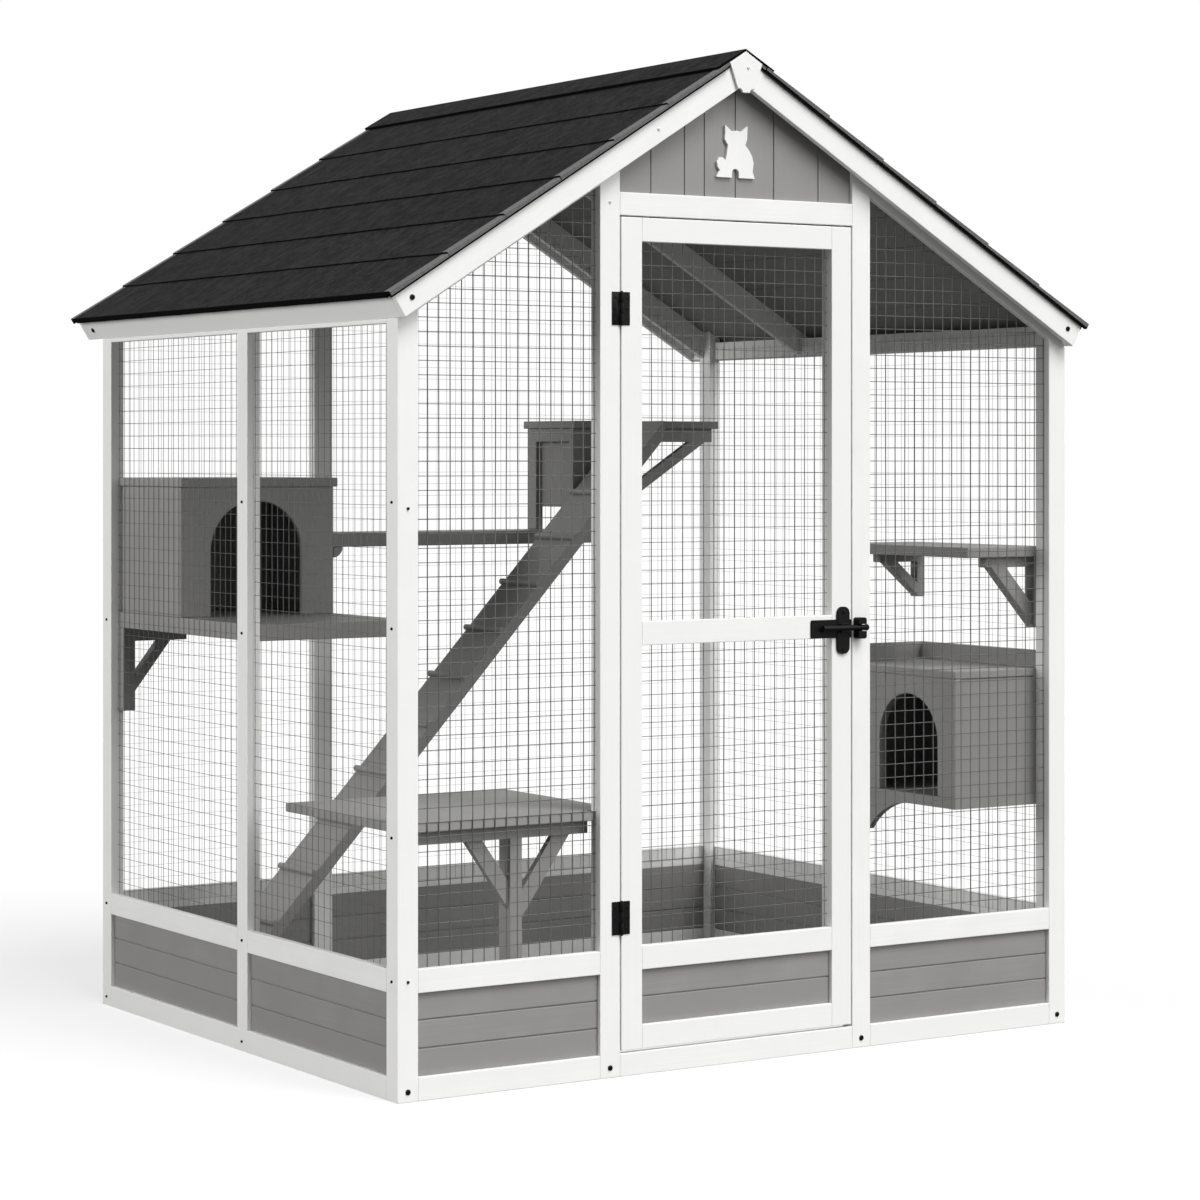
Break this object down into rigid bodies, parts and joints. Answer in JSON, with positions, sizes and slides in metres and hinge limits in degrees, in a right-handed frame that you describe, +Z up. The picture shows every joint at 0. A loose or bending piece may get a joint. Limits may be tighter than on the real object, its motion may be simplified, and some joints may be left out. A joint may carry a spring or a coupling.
{
  "type": "cat enclosure",
  "caption": "Walk-in outdoor cat enclosure: gabled timber frame with wire panels, a hinged door with a sliding bolt, and shelves, a ramp, a table and two shelter boxes inside.",
  "frame": {"origin": "centre of the whole outline on the ground, under the middle of the roof's bounding box", "axes": "+Z up, +Y to the back, away from the door, +X to the right as seen from the front"},
  "size_m": [1.7416, 1.486, 2.0624],
  "materials": {
    "white_timber": "satin paint",
    "grey_timber": "satin paint",
    "asphalt": "mineral felt",
    "black_steel": "satin black",
    "wire": "galvanised wire"
  },
  "bodies": {
    "frame": {"post_front_left": "white_timber", "post_front_right": "white_timber", "posts_rear": "white_timber", "posts_door": "white_timber", "posts_mid": "white_timber", "rails_left": "white_timber", "rails_right": "white_timber", "rails_rear": "white_timber", "rails_front_left": "white_timber", "rails_front_right": "white_timber", "door_sill": "white_timber", "door_header": "white_timber", "cladding_left": "grey_timber", "cladding_right": "grey_timber", "cladding_rear": "grey_timber", "cladding_front": "grey_timber", "mesh_left": "wire", "mesh_right": "wire", "mesh_rear": "wire", "mesh_front": "wire", "gable_boards": "grey_timber", "gable_figure": "white_timber", "rake_boards_front": "white_timber", "rake_boards_rear": "white_timber", "verge_battens": "white_timber", "ridge_block": "white_timber", "fascias": "white_timber", "ridge_beam": "white_timber", "rafters": "white_timber", "roof_decks": "grey_timber", "shingles_left": "asphalt", "shingles_right": "asphalt", "ridge_cap": "asphalt", "frame_bolts": "black_steel", "hinge_leaves_post": "black_steel", "latch_keeper": "black_steel", "table_top": "grey_timber", "table_frame": "grey_timber", "ramp_board": "grey_timber", "ramp_cleats": "grey_timber", "shelf_left": "grey_timber", "shelf_brackets": "grey_timber", "house_left_ends": "grey_timber", "house_left_sides": "grey_timber", "house_left_roof": "grey_timber", "shelf_right": "grey_timber", "shelf_rear": "grey_timber", "house_right_ends": "grey_timber", "house_right_sides": "grey_timber", "house_right_roof": "grey_timber", "house_right_floor": "grey_timber", "perch_board": "grey_timber", "perch_box": "grey_timber"},
    "door": {"door_stiles": "white_timber", "door_rails": "white_timber", "door_cladding": "grey_timber", "door_mesh": "wire", "hinge_leaves_door": "black_steel", "latch_plate": "black_steel"},
    "bolt": {"latch_bolt": "black_steel"}
  },
  "joints": [
    {"name": "door_hinge", "type": "hinge", "parent": "frame", "child": "door", "pos_m": [-0.32393, -0.71, 0.9], "axis": [0, 0, -1], "range_deg": [0, 160]},
    {"name": "bolt_slide", "type": "slide", "parent": "door", "child": "bolt", "axis": [-1, 0, 0], "range_m": [0, 0.034]}
  ]
}
